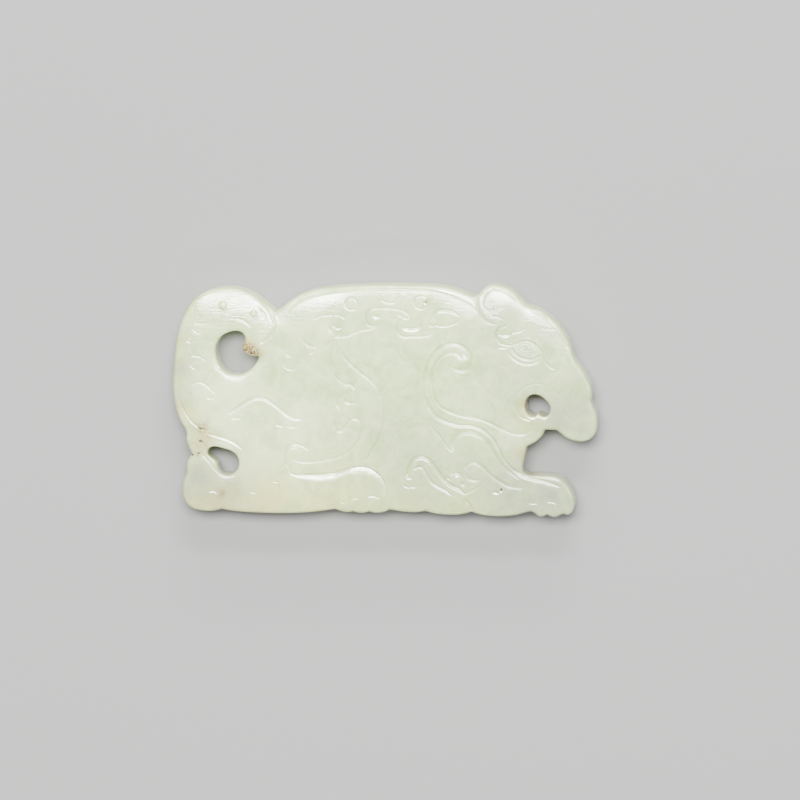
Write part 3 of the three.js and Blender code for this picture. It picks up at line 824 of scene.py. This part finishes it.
def build_pendant():
    loops = stone_outlines()
    rim = sum(len(loop) for loop in loops)
    front_loops = wall_row(loops, 0.0)
    back_loops = wall_row(loops, 1.0)

    front_rows = np.concatenate([stroke_rows(FRONT_STROKES), pearl_rows()])
    back_rows = stroke_rows(BACK_STROKES)
    front = face_points(front_loops, front_rows, FRONT_STROKES, FINE_STEP, detail_spots())
    back = face_points(back_loops, back_rows, BACK_STROKES, BACK_FINE_STEP, [])
    front_flat, front_faces, front_source = triangulate(front_loops, front)
    back_flat, back_faces, back_source = triangulate(back_loops, back)

    front_z = (THICKNESS - edge_fall(front_flat, front_loops) + carve(front_flat, FRONT_STROKES)[0]
               + mounds(front_flat) + undulation(front_flat, WAVE_SEED))
    back_z = edge_fall(back_flat, back_loops, BACK_SOFTNESS) - carve(back_flat, BACK_STROKES)[0]

    # The side wall: rows of points between the two faces, swelling out to the full outline.
    front_rim = rim_vertices(front_source, rim)
    back_rim = rim_vertices(back_source, rim)
    rows = []
    for share in WALL_ROWS:
        height = (1 - share) * front_z[front_rim] + share * back_z[back_rim]
        rows.append(np.column_stack([np.concatenate(wall_row(loops, share)), height]))
    wall_start = len(front_flat)
    back_start = wall_start + rim * len(rows)
    levels = [front_rim]
    levels += [wall_start + rim * i + np.arange(rim) for i in range(len(rows))]
    levels += [back_start + back_rim]
    front_part = np.column_stack([front_flat, front_z])
    back_part = np.column_stack([back_flat, back_z])
    vertices = np.concatenate([front_part, *rows, back_part])
    faces = [tuple(f) for f in front_faces]
    faces += [tuple(f[::-1]) for f in back_faces + back_start]
    faces += wall_faces(loops, levels)

    mesh = bpy.data.meshes.new("jade_tapir")
    mesh.from_pydata([tuple(v) for v in vertices * MM], [], [[int(i) for i in f] for f in faces])
    mesh.validate()
    mesh.polygons.foreach_set("use_smooth", [True] * len(mesh.polygons))
    on_front = np.arange(len(vertices)) < len(front_flat)
    on_wall = np.zeros(len(vertices))
    on_wall[np.concatenate(levels)] = 1.0
    for name, field in colour_fields(vertices[:, :2], on_front, on_wall).items():
        mesh.attributes.new(name, "FLOAT", "POINT").data.foreach_set("value", field)
    mesh.update()
    piece = bpy.data.objects.new("jade_tapir", mesh)
    bpy.context.scene.collection.objects.link(piece)
    return piece


# Jade: its colours, with a tint for painted light and a grey that is partly painted shade, and the
# scales of its patterns in waves per metre.
JADE_CLOUD = (0.56, 0.67, 0.325, 1)
JADE_CLEAR = (0.36, 0.48, 0.19, 1)
JADE_WARM = (0.52, 0.41, 0.11, 1)
# painted light, for the lit patches and the side walls
PAINTED_LIGHT_TINT = (0.70, 0.80, 0.47, 1)
# partly greyer stone, partly painted shade
GREY_AND_SHADE_TINT = (0.23, 0.26, 0.17, 1)
STAIN_BROWN = (0.14, 0.08, 0.008, 1)
SPECK_BROWN = (0.02, 0.01, 0.003, 1)
CLOUD_SCALE = 330
PATCH_SCALE = 330
STAIN_SCALE = 3000
SPECK_SCALE = 5200
POLISH_SCALE = 260
RELIEF_SCALE = 1100
SCRATCH_SCALE = 2600
PIT_SCALE = 4200
RELIEF = 0.17
RELIEF_HEIGHT = 0.2 * MM
SCRATCH_HEIGHT = 0.1 * MM
SCRATCH_BEARING = 12  # degrees
SCRATCH_SHARE = 0.16  # how much slower the scratches change along their length than across
POLISH = (0.12, 0.22)  # roughness from the shiniest to the dullest
SUBSURFACE = 0.8  # where the stone is clean
STAINED_SUBSURFACE = 0.05
SUBSURFACE_REACH = 1.5 * MM
SUBSURFACE_TINT = (1.0, 1.05, 0.8)
REFRACTION = 1.61
SPECULAR = 0.9


def jade_material():
    material = bpy.data.materials.new("pale_jade")
    material.use_nodes = True
    nodes, links = material.node_tree.nodes, material.node_tree.links
    shader = nodes["Principled BSDF"]
    place = nodes.new("ShaderNodeTexCoord").outputs["Object"]

    def noise(scale, detail, roughness=0.5, distortion=0.0, at=place):
        node = nodes.new("ShaderNodeTexNoise")
        node.inputs["Scale"].default_value = scale
        node.inputs["Detail"].default_value = detail
        node.inputs["Roughness"].default_value = roughness
        node.inputs["Distortion"].default_value = distortion
        links.new(at, node.inputs["Vector"])
        return node.outputs["Fac"]

    def spread(value, from_low, from_high, to_low=0.0, to_high=1.0):
        node = nodes.new("ShaderNodeMapRange")
        node.interpolation_type = "SMOOTHSTEP"
        node.inputs["From Min"].default_value = from_low
        node.inputs["From Max"].default_value = from_high
        node.inputs["To Min"].default_value = to_low
        node.inputs["To Max"].default_value = to_high
        links.new(value, node.inputs["Value"])
        return node.outputs["Result"]

    def combined(a, b, operation="MULTIPLY"):
        node = nodes.new("ShaderNodeMath")
        node.operation = operation
        links.new(a, node.inputs[0])
        links.new(b, node.inputs[1])
        return node.outputs[0]

    def blend(factor, below, above):
        node = nodes.new("ShaderNodeMix")
        node.data_type = "RGBA"
        links.new(factor, node.inputs["Factor"])
        for colour, socket in ((below, node.inputs["A"]), (above, node.inputs["B"])):
            if isinstance(colour, tuple):
                socket.default_value = colour
            else:
                links.new(colour, socket)
        return node.outputs["Result"]

    def attribute(name):
        node = nodes.new("ShaderNodeAttribute")
        node.attribute_name = name
        return node.outputs["Fac"]

    clouds = spread(noise(CLOUD_SCALE, 10, 0.74, 0.6), 0.32, 0.64)
    colour = blend(clouds, JADE_CLEAR, JADE_CLOUD)
    patchy = spread(noise(PATCH_SCALE, 6, 0.6), 0.3, 0.65, 0.55, 1.0)
    # Painted light where the pale attribute is set.
    colour = blend(combined(attribute("pale"), patchy), colour, PAINTED_LIGHT_TINT)
    colour = blend(combined(attribute("warm"), patchy), colour, JADE_WARM)
    # Painted shade, partly greyer stone, where the grey attribute is set.
    colour = blend(combined(attribute("grey"), patchy), colour, GREY_AND_SHADE_TINT)
    ragged = spread(noise(STAIN_SCALE, 4, 0.75), 0.4, 0.55, 0.2, 1.0)
    stain = combined(attribute("stain"), ragged)
    colour = blend(stain, colour, STAIN_BROWN)
    grain = spread(noise(SPECK_SCALE, 2), 0.3, 0.6, 0.35, 1.0)
    speck = spread(combined(attribute("speck"), grain), 0.12, 0.55)
    colour = blend(speck, colour, SPECK_BROWN)
    links.new(colour, shader.inputs["Base Color"])
    links.new(spread(noise(POLISH_SCALE, 4), 0.3, 0.7, *POLISH), shader.inputs["Roughness"])
    # The stains lie at the surface, so the light doesn't spread beneath them.
    dark = combined(stain, speck, "MAXIMUM")
    depth_of_light = spread(dark, 0.0, 0.5, SUBSURFACE, STAINED_SUBSURFACE)
    links.new(depth_of_light, shader.inputs["Subsurface Weight"])

    def bump(height, distance, strength, below=None):
        node = nodes.new("ShaderNodeBump")
        node.inputs["Distance"].default_value = distance
        links.new(height, node.inputs["Height"])
        if isinstance(strength, float):
            node.inputs["Strength"].default_value = strength
        else:
            links.new(strength, node.inputs["Strength"])
        if below is not None:
            links.new(below, node.inputs["Normal"])
        return node.outputs["Normal"]

    # An uneven polish, fine scratches that run mostly lengthwise, and small pits in the eyeball.
    drawn_out = nodes.new("ShaderNodeMapping")
    drawn_out.inputs["Rotation"].default_value = (0, 0, math.radians(SCRATCH_BEARING))
    drawn_out.inputs["Scale"].default_value = (SCRATCH_SHARE, 1, 1)
    links.new(place, drawn_out.inputs["Vector"])
    scratches = noise(SCRATCH_SCALE, 3, 0.6, at=drawn_out.outputs["Vector"])
    relief = bump(noise(RELIEF_SCALE, 6, 0.66), RELIEF_HEIGHT, RELIEF)
    relief = bump(scratches, SCRATCH_HEIGHT, attribute("rubbed"), relief)
    relief = bump(noise(PIT_SCALE, 2), RELIEF_HEIGHT, attribute("pitted"), relief)
    links.new(relief, shader.inputs["Normal"])

    shader.inputs["IOR"].default_value = REFRACTION
    shader.inputs["Specular IOR Level"].default_value = SPECULAR
    shader.inputs["Subsurface Radius"].default_value = SUBSURFACE_TINT
    shader.inputs["Subsurface Scale"].default_value = SUBSURFACE_REACH
    return material


jade_tapir = build_pendant()
jade_tapir.data.materials.append(jade_material())
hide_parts(NODE)
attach(jade_tapir, "root")


# Floor, lights and camera.
FLOOR_GREY = (0.235, 0.235, 0.232, 1)
FLOOR_ROUGHNESS = 0.9
# Each light's name, place, width and height in metres, and power in watts.
LIGHTS = [
    ("key", (0.0, 0.26, 0.92), 0.50, 0.24, 28.5),
    ("low", (0.12, 0.72, 0.60), 0.50, 0.13, 10.0),
    ("rim", (0.05, 0.85, 0.30), 0.60, 0.12, 8.0),
    ("side", (0.50, 0.12, 0.78), 0.08, 0.40, 2.0),
    ("front", (0.0, -0.70, 0.62), 0.50, 0.07, 3.5),
    ("top", (-0.3, -0.1, 0.95), 0.8, 0.8, 3.5),
]
SURROUNDING_LIGHT = 0.16

# The camera looks down on the pendant from slightly above its back and slightly past its snout.
TILT_TO_BACK = 6.4  # degrees
TILT_TO_SNOUT = 5.0
CAMERA_DISTANCE = 1.0  # metres
CAMERA_NEAREST = 0.05
SENSOR = 36.0
VIEW_MIDDLE = (226.5, 116)  # squares
VIEW_WIDTH = 791  # squares


def plain_material(name, colour, roughness):
    material = bpy.data.materials.new(name)
    material.use_nodes = True
    shader = material.node_tree.nodes["Principled BSDF"]
    shader.inputs["Base Color"].default_value = colour
    shader.inputs["Roughness"].default_value = roughness
    return material


def add_floor():
    half = FLOOR_HALF_WIDTH * MM
    corners = [(-half, -half, 0), (half, -half, 0), (half, half, 0), (-half, half, 0)]
    mesh = bpy.data.meshes.new("floor")
    mesh.from_pydata(corners, [], [(0, 1, 2, 3)])
    mesh.materials.append(plain_material("floor_paper", FLOOR_GREY, FLOOR_ROUGHNESS))
    floor = bpy.data.objects.new("floor", mesh)
    bpy.context.scene.collection.objects.link(floor)


def add_light(name, place, width, height, power):
    """A soft light that faces the pendant."""
    light = bpy.data.lights.new(name, "AREA")
    light.shape = "RECTANGLE"
    light.size = width
    light.size_y = height
    light.energy = power
    lamp = bpy.data.objects.new(name, light)
    lamp.location = place
    lamp.rotation_euler = (Vector((0, 0, 0)) - Vector(place)).to_track_quat("-Z", "Y").to_euler()
    bpy.context.scene.collection.objects.link(lamp)


def add_world(strength):
    world = bpy.data.worlds.new("studio")
    world.use_nodes = True
    backdrop = world.node_tree.nodes["Background"]
    backdrop.inputs["Color"].default_value = (1, 1, 1, 1)
    backdrop.inputs["Strength"].default_value = strength
    bpy.context.scene.world = world


def add_camera():
    camera = bpy.data.cameras.new("camera")
    camera.sensor_width = SENSOR
    camera.clip_start = CAMERA_NEAREST
    camera.lens = SENSOR * CAMERA_DISTANCE / (VIEW_WIDTH * SQUARE * MM)
    aim = Vector((*(on_slab(VIEW_MIDDLE) * MM), THICKNESS * MM))
    lean_x = math.tan(math.radians(TILT_TO_SNOUT))
    lean_y = math.tan(math.radians(TILT_TO_BACK))
    lean = Vector((lean_x, lean_y, 1)).normalized()
    viewer = bpy.data.objects.new("camera", camera)
    right = Vector((0, 1, 0)).cross(lean).normalized()
    turned = Matrix((right, lean.cross(right), lean)).transposed()
    viewer.matrix_world = Matrix.Translation(aim + lean * CAMERA_DISTANCE) @ turned.to_4x4()
    bpy.context.scene.collection.objects.link(viewer)
    bpy.context.scene.camera = viewer


add_floor()
for light in LIGHTS:
    add_light(*light)
add_world(SURROUNDING_LIGHT)
add_camera()
